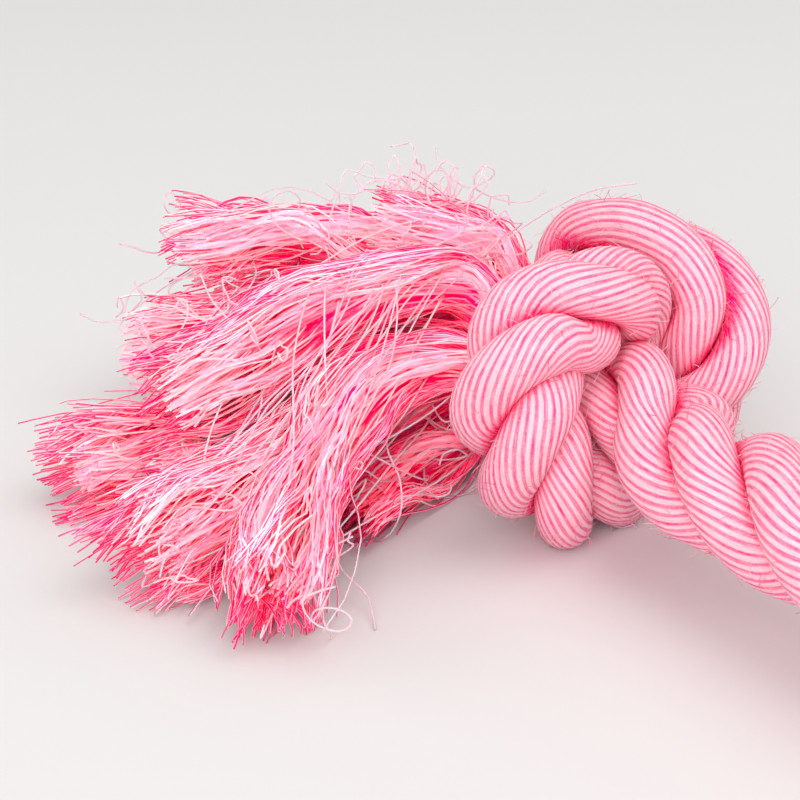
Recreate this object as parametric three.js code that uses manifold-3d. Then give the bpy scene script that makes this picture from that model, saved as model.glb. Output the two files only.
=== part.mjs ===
// Rope dog toy: a laid cotton rope of three strands with an overhand knot and an opened tassel at each end.
// Millimetres, +Z up, +X along the rope. The knots rest on z = 0, and the origin is under the rope's middle.
import * as THREE from 'three';
import Module from 'manifold-3d';

const wasm = await Module();
wasm.setup();

// Driving dimensions
const ropeDiameter = 22;
const shaftRadius = 0.475; // of the rope pulled straight between the knots, in rope diameters
const layLength = 52.8; // rope length in which a strand goes once round
const knotSpacing = 156; // between the centres of the two knots
const tasselLength = 66; // how far the longest locks reach from the rope's opened end
const restDepth = 1; // depth of the flat that each knot rests on
const pieceGap = 0.3; // clearance where two pieces meet end to end
const strandClearance = 0.1; // taken off each strand's radius, so that neighbours don't touch

// The laid rope's section, in shares of the rope's radius
const strandOffset = 0.56;
const strandRadius = 0.43;
const bendSqueeze = 1.1; // how strongly a bend thins the strand on its inside
const thinnestStrand = 0.4; // share of the radius that the thinnest stretch keeps

// Facets
const strandSides = 8;
const samplesPerStation = 8;
const samplesPerRing = 4;
const lockSides = 8;
const lockRings = 12;

// The knot's rope, from the shaft round to the opened end, chosen by hand in rope diameters from the knot's
// centre: along, across, up, the rope's radius there, and the strands' turn in degrees since the entry.
const knotStations = [
  [1, 0, 0, 0.475, 0],
  [0.68, 0.07, 0.09, 0.45, 48],
  [0.35, 0.09, 0.19, 0.43, 103],
  [-0.02, 0.07, 0.17, 0.36, 158],
  [-0.36, 0.05, 0.1, 0.32, 221],
  [-0.72, 0.11, 0.14, 0.26, 283],
  [-0.98, 0.32, 0.22, 0.27, 350],
  [-1.29, 0.54, 0.36, 0.34, 414],
  [-1.29, 0.72, 0.6, 0.42, 466],
  [-0.96, 0.8, 0.79, 0.41, 499],
  [-0.62, 0.9, 0.84, 0.44, 514],
  [-0.32, 1.01, 0.75, 0.43, 529],
  [-0.07, 1.04, 0.5, 0.42, 558],
  [0.04, 0.93, 0.18, 0.42, 607],
  [0, 0.74, -0.14, 0.42, 667],
  [-0.1, 0.53, -0.38, 0.4, 727],
  [-0.1, 0.21, -0.51, 0.41, 788],
  [0.01, -0.16, -0.51, 0.42, 853],
  [0.11, -0.46, -0.4, 0.44, 926],
  [0.15, -0.69, -0.09, 0.455, 997],
  [0.19, -0.82, 0.25, 0.465, 1067],
  [0.18, -0.78, 0.59, 0.465, 1137],
  [0.16, -0.58, 0.83, 0.455, 1208],
  [0.17, -0.21, 0.91, 0.41, 1280],
  [0.03, 0.11, 0.86, 0.365, 1347],
  [-0.14, 0.36, 0.7, 0.305, 1405],
  [-0.31, 0.48, 0.41, 0.255, 1456],
  [-0.51, 0.58, 0.11, 0.275, 1506],
  [-0.73, 0.6, -0.18, 0.3, 1559],
  [-1.01, 0.59, -0.38, 0.36, 1613],
  [-1.31, 0.48, -0.42, 0.41, 1668],
  [-1.49, 0.21, -0.27, 0.43, 1718],
];
const entryAlong = 0.95; // where a knot's strands meet the shaft's, in rope diameters from the knot's centre
const leadInCount = 2; // straight stations before a knot's first one
const stationStep = 0.36; // spacing of the stations on straight rope, in rope diameters

// Each strand opens into a tuft of three locks. A lock leaves its strand's end at a root angle, and its
// points are shares of the tassel's length from the rope's end, with the height in rope diameters.
const tufts = [
  {
    name: 'back',
    strand: 2,
    locks: [
      {
        rootAngle: 177,
        tip: 0.31,
        points: [[-0.27, 0.01, 1.14], [-0.46, -0.13, 1.3], [-0.62, -0.33, 1.39], [-0.72, -0.59, 1.36]],
      },
      {
        rootAngle: 58,
        tip: 0.25,
        points: [[-0.12, 0.06, 1.17], [-0.18, 0.05, 1.4], [-0.23, -0.05, 1.55], [-0.35, -0.19, 1.65]],
      },
      {
        rootAngle: -72,
        tip: 0.3,
        points: [[-0.2, -0.08, 0.82], [-0.32, -0.29, 0.91], [-0.54, -0.52, 0.77], [-0.72, -0.78, 0.59]],
      },
    ],
  },
  {
    name: 'middle',
    strand: 0,
    locks: [
      {
        rootAngle: 84,
        tip: 0.28,
        points: [[-0.05, -0.2, 0.5], [-0.07, -0.44, 0.45], [-0.07, -0.73, 0.39], [-0.03, -1.02, 0.3]],
      },
      {
        rootAngle: 208,
        tip: 0.29,
        points: [[-0.13, -0.16, 0.48], [-0.2, -0.45, 0.44], [-0.25, -0.79, 0.4], [-0.29, -1.17, 0.3]],
      },
      {
        rootAngle: -38,
        tip: 0.2,
        points: [[0.03, -0.17, 0.28], [0.09, -0.33, 0.25], [0.16, -0.49, 0.23], [0.23, -0.63, 0.21]],
      },
    ],
  },
  {
    name: 'front',
    strand: 1,
    locks: [
      {
        rootAngle: 120,
        tip: 0.34,
        points: [[-0.08, -0.08, 1.23], [-0.08, -0.3, 1.41], [-0.06, -0.59, 1.3], [-0.13, -0.95, 0.91]],
      },
      {
        rootAngle: 245,
        tip: 0.31,
        points: [[0.02, -0.2, 0.68], [0.06, -0.5, 0.61], [0.15, -0.85, 0.5], [0.25, -1.21, 0.32]],
      },
      {
        rootAngle: 5,
        tip: 0.26,
        points: [[0.09, -0.27, 0.95], [0.15, -0.52, 0.98], [0.28, -0.74, 0.68], [0.63, -1.04, 0.31]],
      },
    ],
  },
];
const lockRootRadius = 0.08; // in rope diameters
const lockRootSpread = 0.1; // from the strand's centre to a lock's root, in rope diameters
const lockFlare = 1.15; // how late a lock swells towards its tip
const lockLeadIn = 0.07; // length before the cut at the rope's end, in rope diameters

const ropeColour = '#f7a9c0';
const tasselColour = '#f58fb0';

const up = new THREE.Vector3(0, 0, 1);

// Tangents of a run of points, by the difference of the neighbours.
function tangentsOf(points) {
  return points.map((point, i) => {
    const before = points[Math.max(i - 1, 0)];
    const after = points[Math.min(i + 1, points.length - 1)];
    return after.clone().sub(before).normalize();
  });
}

// A normal for each tangent that turns as little as it can from one to the next.
function normalsOf(tangents, first) {
  let normal = first;
  return tangents.map((tangent) => {
    normal = normal.clone().addScaledVector(tangent, -normal.dot(tangent)).normalize();
    return normal;
  });
}

// A closed solid round a run of centres, each with its own radius and a flat cap at both ends.
// The last cap is square to the end direction where there is one.
function sweep(centres, radii, sides, endDirection) {
  const tangents = tangentsOf(centres);
  if (endDirection) tangents[tangents.length - 1] = endDirection;
  const aside = Math.abs(tangents[0].z) < 0.8 ? up : new THREE.Vector3(1, 0, 0);
  const normals = normalsOf(tangents, aside);
  const positions = [];
  const triangles = [];
  centres.forEach((centre, ring) => {
    const across = new THREE.Vector3().crossVectors(tangents[ring], normals[ring]);
    for (let side = 0; side < sides; side += 1) {
      const angle = (2 * Math.PI * side) / sides;
      const corner = centre.clone();
      corner.addScaledVector(normals[ring], radii[ring] * Math.cos(angle));
      corner.addScaledVector(across, radii[ring] * Math.sin(angle));
      positions.push(corner.x, corner.y, corner.z);
    }
  });
  const last = (centres.length - 1) * sides;
  for (let ring = 0; ring < last; ring += sides) {
    for (let side = 0; side < sides; side += 1) {
      const next = (side + 1) % sides;
      triangles.push(ring + side, ring + next, ring + sides + next);
      triangles.push(ring + side, ring + sides + next, ring + sides + side);
    }
  }
  for (let side = 1; side < sides - 1; side += 1) {
    triangles.push(0, side + 1, side);
    triangles.push(last, last + side, last + side + 1);
  }
  return new wasm.Manifold(
    new wasm.Mesh({
      numProp: 3,
      vertProperties: new Float32Array(positions),
      triVerts: new Uint32Array(triangles),
    }),
  );
}

// The part of a solid on the side of a plane that the direction points to.
function keepBeyond(solid, direction, point) {
  return solid.trimByPlane([direction.x, direction.y, direction.z], direction.dot(point));
}

function geometryOf(solid) {
  const { vertProperties, triVerts } = solid.getMesh();
  const geometry = new THREE.BufferGeometry();
  geometry.setAttribute('position', new THREE.BufferAttribute(new Float32Array(vertProperties), 3));
  geometry.setIndex(new THREE.BufferAttribute(new Uint32Array(triVerts), 1));
  geometry.computeVertexNormals();
  return geometry;
}

// Samples of the laid rope along its stations: centre, radius, strand turn, frame and curvature.
function sampleRope(stations) {
  const route = new THREE.CatmullRomCurve3(stations.map((s) => s.point), false, 'centripetal');
  const section = new THREE.SplineCurve(stations.map((s) => new THREE.Vector2(s.radius, s.turn)));
  const count = (stations.length - 1) * samplesPerStation;
  const centres = Array.from({ length: count + 1 }, (_, i) => route.getPoint(i / count));
  const tangents = tangentsOf(centres);
  const normals = normalsOf(tangents, up);
  return centres.map((centre, i) => {
    const { x: radius, y: turn } = section.getPoint(i / count);
    const before = Math.max(i - 1, 0);
    const after = Math.min(i + 1, count);
    const curvature = tangents[after].clone().sub(tangents[before]);
    curvature.divideScalar(centres[after].distanceTo(centres[before]));
    return { centre, radius, turn, tangent: tangents[i], normal: normals[i], curvature };
  });
}

// One strand's centres and radii. The strand thins where it lies on the inside of a bend.
function strandOf(samples, index) {
  const rings = samples.filter((_, i) => i % samplesPerRing === 0);
  const centres = [];
  const radii = [];
  rings.forEach(({ centre, radius, turn, tangent, normal, curvature }) => {
    const angle = THREE.MathUtils.degToRad(turn + 120 * index);
    const across = new THREE.Vector3().crossVectors(tangent, normal);
    const outward = normal.clone().multiplyScalar(Math.cos(angle)).addScaledVector(across, Math.sin(angle));
    const inside = Math.max(0, curvature.dot(outward) * strandOffset * radius);
    const squeeze = Math.max(thinnestStrand, 1 - bendSqueeze * inside);
    centres.push(centre.clone().addScaledVector(outward, strandOffset * radius));
    radii.push(strandRadius * radius * squeeze - strandClearance);
  });
  return { centres, radii };
}

// The shaft runs straight from knot to knot, with its strands' turn measured from its middle.
const knotCentre = knotSpacing / 2;
const entryDistance = knotCentre - entryAlong * ropeDiameter;

function turnAt(distance) {
  return (360 * distance) / layLength;
}

function shaftStations(height) {
  const count = Math.round(knotSpacing / (stationStep * ropeDiameter));
  return Array.from({ length: count + 1 }, (_, i) => {
    const distance = knotCentre * ((2 * i) / count - 1);
    return {
      point: new THREE.Vector3(-distance, 0, height),
      radius: shaftRadius * ropeDiameter,
      turn: turnAt(distance),
    };
  });
}

// The left knot's rope about the knot's centre, led in by straight stations on the shaft.
function endStations() {
  const start = knotCentre - knotStations[0][0] * ropeDiameter;
  const leadIn = Array.from({ length: leadInCount }, (_, i) => {
    const back = (leadInCount - i) * stationStep * ropeDiameter;
    return {
      point: new THREE.Vector3(knotStations[0][0] * ropeDiameter + back, 0, 0),
      radius: shaftRadius * ropeDiameter,
      turn: turnAt(start - back),
    };
  });
  const knot = knotStations.map(([along, across, height, radius, turn]) => ({
    point: new THREE.Vector3(along, across, height).multiplyScalar(ropeDiameter),
    radius: radius * ropeDiameter,
    turn: turnAt(start) + turn,
  }));
  return [...leadIn, ...knot];
}

const endSamples = sampleRope(endStations());
const endStrands = [0, 1, 2].map((index) => strandOf(endSamples, index));
const lowest = Math.min(...endStrands.flatMap(({ centres, radii }) => centres.map((c, i) => c.z - radii[i])));
const axisHeight = -lowest - restDepth;

const ropeEnd = endSamples[endSamples.length - 1];
const sideways = new THREE.Vector3().crossVectors(up, ropeEnd.tangent).normalize();
const upward = new THREE.Vector3().crossVectors(ropeEnd.tangent, sideways);

// A knot strand, square to the rope where it opens and where it meets the shaft, and cut flat where it rests.
function knotStrandSolid({ centres, radii }) {
  const whole = sweep(centres, radii, strandSides, ropeEnd.tangent);
  const entry = new THREE.Vector3(entryAlong * ropeDiameter - pieceGap / 2, 0, 0);
  const fromShaft = keepBeyond(whole, new THREE.Vector3(-1, 0, 0), entry);
  return keepBeyond(fromShaft, up, new THREE.Vector3(0, 0, -axisHeight));
}

// A lock of yarn, from its root at the strand's end to its blunt cut tip.
function lockSolid(strand, { rootAngle, tip, points }) {
  const angle = THREE.MathUtils.degToRad(rootAngle);
  const root = strand.centres[strand.centres.length - 1].clone();
  root.addScaledVector(sideways, lockRootSpread * ropeDiameter * Math.cos(angle));
  root.addScaledVector(upward, lockRootSpread * ropeDiameter * Math.sin(angle));
  const start = root.clone().addScaledVector(ropeEnd.tangent, -lockLeadIn * ropeDiameter);
  const along = points.map(([x, y, height]) => new THREE.Vector3(
    ropeEnd.centre.x + x * tasselLength,
    ropeEnd.centre.y + y * tasselLength,
    height * ropeDiameter - axisHeight,
  ));
  const route = new THREE.CatmullRomCurve3([start, root, ...along], false, 'centripetal');
  const centres = Array.from({ length: lockRings + 1 }, (_, i) => route.getPointAt(i / lockRings));
  const swell = tip - lockRootRadius;
  const radii = centres.map((_, i) => ropeDiameter * (lockRootRadius + swell * (i / lockRings) ** lockFlare));
  const face = ropeEnd.centre.clone().addScaledVector(ropeEnd.tangent, pieceGap);
  return keepBeyond(sweep(centres, radii, lockSides), ropeEnd.tangent, face);
}

function cottonMesh(name, geometry, color) {
  const material = new THREE.MeshStandardMaterial({ color, roughness: 0.9, metalness: 0 });
  const mesh = new THREE.Mesh(geometry, material);
  mesh.name = name;
  return mesh;
}

const strandLetters = ['a', 'b', 'c'];
const knotGeometries = endStrands.map((strand) => geometryOf(knotStrandSolid(strand)));
const lockGeometries = tufts.map(({ strand, locks }) => (
  locks.map((lock) => geometryOf(lockSolid(endStrands[strand], lock)))
));

// One end of the toy, about its knot's centre. The letters name the shaft strand that each one carries on.
function makeEnd(side, letters) {
  const end = new THREE.Group();
  knotGeometries.forEach((geometry, i) => {
    end.add(cottonMesh(`${side}_knot_strand_${letters[i]}`, geometry, ropeColour));
  });
  tufts.forEach(({ name }, t) => {
    lockGeometries[t].forEach((geometry, i) => {
      end.add(cottonMesh(`${side}_${name}_tuft_lock_${i + 1}`, geometry, tasselColour));
    });
  });
  end.position.set(-knotCentre, 0, axisHeight);
  return end;
}

function makeShaft() {
  const shaft = new THREE.Group();
  const samples = sampleRope(shaftStations(axisHeight));
  const endFace = new THREE.Vector3(entryDistance - pieceGap / 2, 0, 0);
  strandLetters.forEach((letter, i) => {
    const { centres, radii } = strandOf(samples, i);
    const rightCut = keepBeyond(sweep(centres, radii, strandSides), new THREE.Vector3(-1, 0, 0), endFace);
    const cut = keepBeyond(rightCut, new THREE.Vector3(1, 0, 0), endFace.clone().negate());
    shaft.add(cottonMesh(`shaft_strand_${letter}`, geometryOf(cut), ropeColour));
  });
  return shaft;
}

// The right end is the left one turned half round the rope's middle, which swaps the lower two strands.
const toy = new THREE.Group();
toy.add(makeShaft());
toy.add(makeEnd('left', ['a', 'b', 'c']));
const rightHalf = new THREE.Group();
rightHalf.add(makeEnd('right', ['a', 'c', 'b']));
rightHalf.rotation.z = Math.PI;
toy.add(rightHalf);

export default toy;
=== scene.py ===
"""Rope dog toy: laid cotton strands, two overhand knots and two opened tassels."""
import math
from functools import partial

import bpy
import numpy as np
from mathutils import Matrix, Vector


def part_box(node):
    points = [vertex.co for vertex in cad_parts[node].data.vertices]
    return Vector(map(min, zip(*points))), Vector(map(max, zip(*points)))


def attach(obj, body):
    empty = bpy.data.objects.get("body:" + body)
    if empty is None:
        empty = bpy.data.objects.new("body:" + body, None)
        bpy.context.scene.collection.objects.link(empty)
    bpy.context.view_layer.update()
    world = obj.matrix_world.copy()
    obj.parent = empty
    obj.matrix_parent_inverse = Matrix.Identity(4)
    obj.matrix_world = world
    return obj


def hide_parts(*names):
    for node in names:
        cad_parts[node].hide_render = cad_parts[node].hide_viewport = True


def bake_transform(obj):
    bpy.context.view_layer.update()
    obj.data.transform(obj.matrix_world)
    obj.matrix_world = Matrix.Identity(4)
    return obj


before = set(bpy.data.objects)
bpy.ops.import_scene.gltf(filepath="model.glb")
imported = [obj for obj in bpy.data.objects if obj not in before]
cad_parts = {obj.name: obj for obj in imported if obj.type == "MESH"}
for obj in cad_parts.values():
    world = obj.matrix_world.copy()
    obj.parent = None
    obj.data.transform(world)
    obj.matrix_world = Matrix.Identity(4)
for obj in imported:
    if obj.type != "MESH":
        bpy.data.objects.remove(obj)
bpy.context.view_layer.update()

# Sizes in metres, as in the solid model
UP = (0, 0, 1)
ROPE = 0.022
SHAFT_RADIUS = 0.475 * ROPE
LAY = 0.0528
KNOT_CENTRE = 0.078
TASSEL = 0.066
SHAFT_BOXES = [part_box(f"shaft_strand_{letter}") for letter in "abc"]
AXIS_HEIGHT = (min(low[2] for low, high in SHAFT_BOXES) + max(high[2] for low, high in SHAFT_BOXES)) / 2
FLOOR_GAP = 0.0001  # least height of strands and loose yarns

# The laid rope's section in shares of its radius, and how bends thin a strand
STRANDS = 3
STRAND_OFFSET = 0.545
STRAND_RADIUS = 0.455
BEND_SQUEEZE = 0.35
THINNEST_STRAND = 0.75
YARN_TURN = -STRAND_OFFSET / STRAND_RADIUS  # keeps the outer yarns in line with the rope

# The knot's rope in rope diameters from the knot's centre: along, across, up, radius, and turn in degrees
KNOT = [
    (1, 0, 0, 0.475, 0), (0.68, 0.07, 0.09, 0.45, 48), (0.35, 0.09, 0.19, 0.43, 103),
    (-0.02, 0.07, 0.17, 0.36, 158), (-0.36, 0.05, 0.1, 0.32, 221), (-0.72, 0.11, 0.14, 0.26, 283),
    (-0.98, 0.32, 0.22, 0.27, 350), (-1.29, 0.54, 0.36, 0.34, 414), (-1.29, 0.72, 0.6, 0.42, 466),
    (-0.96, 0.8, 0.79, 0.41, 499), (-0.62, 0.9, 0.84, 0.44, 514), (-0.32, 1.01, 0.75, 0.43, 529),
    (-0.07, 1.04, 0.5, 0.42, 558), (0.04, 0.93, 0.18, 0.42, 607), (0, 0.74, -0.14, 0.42, 667),
    (-0.1, 0.53, -0.38, 0.4, 727), (-0.1, 0.21, -0.51, 0.41, 788), (0.01, -0.16, -0.51, 0.42, 853),
    (0.11, -0.46, -0.4, 0.44, 926), (0.15, -0.69, -0.09, 0.455, 997), (0.19, -0.82, 0.25, 0.465, 1067),
    (0.18, -0.78, 0.59, 0.465, 1137), (0.16, -0.58, 0.83, 0.455, 1208), (0.17, -0.21, 0.91, 0.41, 1280),
    (0.03, 0.11, 0.86, 0.365, 1347), (-0.14, 0.36, 0.7, 0.305, 1405), (-0.31, 0.48, 0.41, 0.255, 1456),
    (-0.51, 0.58, 0.11, 0.275, 1506), (-0.73, 0.6, -0.18, 0.3, 1559), (-1.01, 0.59, -0.38, 0.36, 1613),
    (-1.31, 0.48, -0.42, 0.41, 1668), (-1.49, 0.21, -0.27, 0.43, 1718),
]
STEPS = 8  # rings between two stations
STRAIGHT_STATIONS = 7

# Tufts with their strand and three locks: root angle in degrees, tip radius in rope diameters, and points
TUFTS = [
    ("back", 2, [
        (177, 0.27, [(-0.27, 0.01, 1.14), (-0.46, -0.13, 1.3), (-0.62, -0.33, 1.39), (-0.72, -0.59, 1.36)]),
        (58, 0.25, [(-0.12, 0.06, 1.17), (-0.18, 0.05, 1.4), (-0.23, -0.05, 1.55), (-0.35, -0.19, 1.65)]),
        (-72, 0.3, [(-0.2, -0.08, 0.82), (-0.32, -0.29, 0.91), (-0.54, -0.52, 0.77), (-0.72, -0.78, 0.59)]),
    ]),
    ("middle", 0, [
        (84, 0.32, [(-0.05, -0.2, 0.5), (-0.07, -0.44, 0.45), (-0.07, -0.73, 0.39), (-0.03, -1.02, 0.3)]),
        (208, 0.34, [(-0.13, -0.16, 0.48), (-0.2, -0.45, 0.44), (-0.25, -0.79, 0.4), (-0.29, -1.17, 0.3)]),
        (-38, 0.2, [(0.03, -0.17, 0.28), (0.09, -0.33, 0.25), (0.16, -0.49, 0.23), (0.23, -0.63, 0.21)]),
    ]),
    ("front", 1, [
        (120, 0.34, [(-0.08, -0.08, 1.23), (-0.08, -0.3, 1.41), (-0.06, -0.59, 1.3), (-0.13, -0.95, 0.91)]),
        (245, 0.31, [(0.02, -0.2, 0.68), (0.06, -0.5, 0.61), (0.15, -0.85, 0.5), (0.25, -1.21, 0.32)]),
        (5, 0.26, [(0.09, -0.27, 0.95), (0.15, -0.52, 0.98), (0.28, -0.74, 0.68), (0.63, -1.04, 0.31)]),
    ]),
]
ROOT_SPREAD = 0.1  # from the strand's centre to a lock's root, in rope diameters
ROOT_RADIUS = 0.11  # of a lock where it leaves its strand, in rope diameters
FULLNESS = 1.2  # of the threads at a lock's tip, in its tip radius
OPENING_POWER = 0.55  # how soon a lock opens from its root
ROOT_GATHER = (0.6, 0.9)  # share of the root's spread before it
TIP_BEYOND = 0.03  # how far the longest threads reach past the last point of a lock, in its last span

# Rings along a lock
LEAD = 10  # rings of the strand that the threads cover before the rope's end
GUIDE_STEPS = 8  # between two points
ROOT_RING = 2 * GUIDE_STEPS
BARE_RINGS = 13  # at the tip, which cover nothing
CURL_RINGS = (33, 50)  # curls leave it between these
BRIDGE_RINGS = ((24, 38), (36, 47))  # yarns to another lock leave and end between these

# Yarn on the strands
STRIPES = 20  # pale yarns round a strand
POINTS_PER_STRIPE = 4
GROOVE = 0.014  # depth between two yarns, in strand radii
ON_EDGE = 0.01  # puts a point between two yarns with the later one
FIBRE_ARC = {"Resolution": 2, "Start": (0, 0, -0.1), "Middle": (0, 0, 0.5), "End": (0.45, 0, 0.85)}
FIBRE_RADIUS = 0.024  # in its length
FIBRE_LEAN = (35, 80)  # least and most, in degrees
SHORTEST_FIBRE = 0.4

# Threads in the locks
WISPS = 22  # in a lock
THREADS = 21  # in a wisp
THREAD_SIZE = 0.00033
THREAD_POINTS = 27
SIDE_TO_RADIUS = 0.577  # of a triangle
THINNEST_THREAD, THREAD_GAIN = 0.7, 0.5
GOLDEN_ANGLE = 2.39996
WISP_CROWDING = 0.2  # power that keeps the wisps near the lock's outside
WISP_SHADE = 0.4  # share of a thread's shade that its wisp decides
WISP_AT_ROOT, WISP_GAIN = 0.8, 0.4  # width of a wisp at its root, and its growth to the tip
SUNK_SHARE = 0.16  # how far a thread may lie below its wisp, in lock radii
STRAY_RARITY = 12.0  # power that makes strays few
# OPEN_TIP: ramp by which inner threads lose their painted shade near the tip
OPEN_TIP = (0.6, 0.92, 0.0, 0.8)  # inner threads come into the open near the tip
DRIFT_GAIN = 2.2  # of all noise on the threads
# Noise on the threads: step between two threads, scale, and gathering at the tip
WAVE_NOISE = (3.7, 42.0, 1.1)
CRIMP_NOISE = (1.3, 80.0, 0.2)
STRAY_NOISE = (5.1, 28.0, 0.9)
# The core of a lock, a deep pink filler that stands for its inner yarns and carries painted shade: height
# of its grooves, end, taper, and depth by shade
CORE_GROOVE = 0.88
CORE_END = 0.88
CORE_TAPER = (0.7, 1.0, 1.0, 0.4)
CORE_DEPTH = (0.5, 0.25)

# Single loose yarns of the left end in millimetres, by what carries them
YARN_SIZE = 0.00032
LOOSE_YARNS = {
    "knot": [
        [(-112, 3.5, 36), (-108.5, 5.5, 39.5), (-103.5, 9.5, 44), (-97, 13, 48), (-92, 17, 49.5)],
        [
            (-104, -20, 4.2), (-103.5, -20.5, 2), (-103, -19.5, 0.3), (-99, -17, 0.3), (-98, -13.5, 0.3),
            (-97.5, -10.5, 1.3),
        ],
        [
            (-104, -21.5, 10), (-104.5, -19, 11.5), (-104, -17, 9.5), (-103.5, -17, 7), (-103.5, -20.5, 5),
            (-101.5, -28.5, 4),
        ],
        [(-105.5, -16.5, 19), (-102.5, -16, 15.5), (-100.5, -15, 13), (-100, -12, 13), (-100, -10.5, 11.5)],
        [(-105, -20, 16.5), (-103.5, -17, 13.5), (-101.5, -14, 11), (-101, -11, 10.5)],
        [(-105.5, -11, 20), (-104, -13.5, 17), (-104, -17, 14.5), (-103, -16, 12), (-102.5, -12.5, 9)],
        [(-81, -8, 2.4), (-79.5, -8.5, 1.6), (-77.5, -7.5, 0.3), (-75.5, -6, 0.3)],
        [(-77, -0.5, 2), (-75, 0, 1.3), (-74, 2, 1.2), (-72, 3, 0.3)],
        [(-78.5, -1.5, 4), (-76, -1, 2.2), (-74, 0.5, 0.3), (-73, 3.5, 0.3)],
    ],
    "front_tuft": [
        [
            (-101, -17, 22), (-96.5, -24.5, 18.5), (-94, -29.5, 15.5), (-88.5, -30.5, 11.5),
            (-86, -32, 7.5), (-91.5, -33, 0.3), (-95, -39.5, 0.3),
        ],
        [(-89.5, -45, 17), (-84.5, -44.5, 7.5), (-79.5, -46.5, 5), (-74.5, -45, 2.2), (-67.5, -47.5, 0.3)],
        [(-85.5, -48.5, 14.5), (-75, -51.5, 10), (-69.5, -56, 7.5), (-66.5, -56.5, 5.5), (-69, -54, 0.3)],
        [(-95.5, -43.5, 21), (-88, -46, 17.5), (-81, -48, 13.5), (-77.5, -51, 12), (-79.5, -54.5, 11)],
        [
            (-111, -46, 26), (-108.5, -49, 25), (-102.5, -56, 20), (-97, -59.5, 16), (-94.5, -58, 14.5),
            (-93, -54.5, 13.5),
        ],
        [(-95, -72.5, 14.5), (-94, -68.5, 14.5), (-93, -64, 14.5), (-89.5, -59, 14), (-90.5, -55.5, 14.5)],
        [
            (-87.5, -43, 19.5), (-84.5, -47, 17.5), (-83.5, -51, 15.5), (-84.5, -56.5, 13.5),
            (-84.5, -61, 11.5), (-84, -63.5, 9.5),
        ],
        [(-100, -32, 22.5), (-95.5, -36.5, 20.5), (-89.5, -39, 18), (-85, -44.5, 15), (-80.5, -46, 12.5)],
        [(-131, -42.5, 35.5), (-120.5, -45, 34), (-114, -44, 32), (-111, -39.5, 30.5), (-110.5, -34, 31)],
        [(-115.5, -27, 34), (-110.5, -33, 32), (-107.5, -39.5, 29), (-108, -43.5, 26), (-110, -47, 25)],
        [
            (-136, -44.5, 30), (-124, -45.5, 30), (-113.5, -44.5, 28), (-106.5, -44.5, 24),
            (-103.5, -47, 20.5),
        ],
    ],
    "back_tuft": [
        [(-160, -45, 20), (-160.5, -43, 23.5), (-159, -38, 26), (-158.5, -35.5, 27.5), (-155.5, -31.5, 28)],
        [
            (-155.5, -42, 17), (-155, -37.5, 21), (-156.5, -37.5, 24), (-155.5, -33.5, 26),
            (-152, -30.5, 25.5),
        ],
        [
            (-145.5, -38, 17), (-150, -37.5, 20.5), (-149.5, -34, 23.5), (-146, -30.5, 23.5),
            (-147, -28.5, 25.5),
        ],
        [
            (-136.5, -15.5, 34), (-137, -14.5, 38.5), (-137.5, -12.5, 42), (-138, -10.5, 45.5),
            (-134.5, -7.5, 44.5), (-132, -3, 44.5), (-133.5, -3, 47.5),
        ],
        [
            (-133.5, -12.5, 36), (-134, -12.5, 40), (-134, -9.5, 43.5), (-131.5, -6.5, 44.5),
            (-129.5, -4, 43), (-128.5, -3.5, 39.5),
        ],
    ],
}
# Open curls of yarn on each tuft's locks: how many, and their radius in metres
CURLS = {
    "back": [(8, 0.0028), (42, 0.0029), (8, 0.0026)],
    "middle": [(5, 0.0024), (5, 0.0024), (7, 0.0028)],
    "front": [(9, 0.003), (9, 0.0028), (9, 0.003)],
}
CURL_TURNS = (0.5, 1.3)
CURL_ONWARD, CURL_SIDEWAYS = (0.2, 0.6), (-0.4, 0.4)
CURL_SIZES, CURL_UNEVEN = (0.5, 1.4), (0.88, 1.12)
CURL_SEAT = 0.9  # where a curl leaves its lock, in the lock's radius
LOWEST_CURL = -0.3  # a curl that points lower is turned over
POINTS_PER_TURN, CURL_STEPS, YARN_STEPS = 7, 5, 6
# Yarns that cross from one lock to another: tuft, lock, other tuft, other lock, how many
BRIDGES = [
    ("front", 1, "front", 2, 14),
    ("front", 1, "front", 3, 12),
    ("front", 2, "front", 3, 12),
    ("front", 2, "middle", 1, 8),
    ("back", 3, "front", 1, 10),
    ("back", 1, "back", 3, 8),
    ("back", 2, "front", 1, 10),
    ("middle", 2, "front", 2, 10),
    ("middle", 3, "front", 3, 5),
]
TASSEL_HEART = (-0.126, -0.026, 0.01)  # from here the yarns bulge outwards
BRIDGE_BULGE = (0.001, 0.005)
BRIDGE_SLACK = 0.002
BRIDGE_SCATTER = 0.7
BRIDGE_STOPS = (0.3, 0.65)  # shares of the way
TUCK = 0.002  # how deep a yarn's end goes into its lock

# Directions in which a thread under open sky meets no other lock; threads that meet one get painted shade
RAY_LEAN, RAY_RISE = 0.77, 0.64
RAY_ANGLES = [math.radians(angle) for angle in range(0, 360, 60)]
COVER_RAYS = [(0.0, 0.0, 1.0)] + [
    (RAY_LEAN * math.cos(angle), RAY_LEAN * math.sin(angle), RAY_RISE) for angle in RAY_ANGLES
]
COVER_LENGTH = 0.04
COVER_SIDES = 10
COVER_SHARE = 0.82  # of a lock's radius
STRAND_COVER = 0.9  # of a strand's radius

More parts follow.
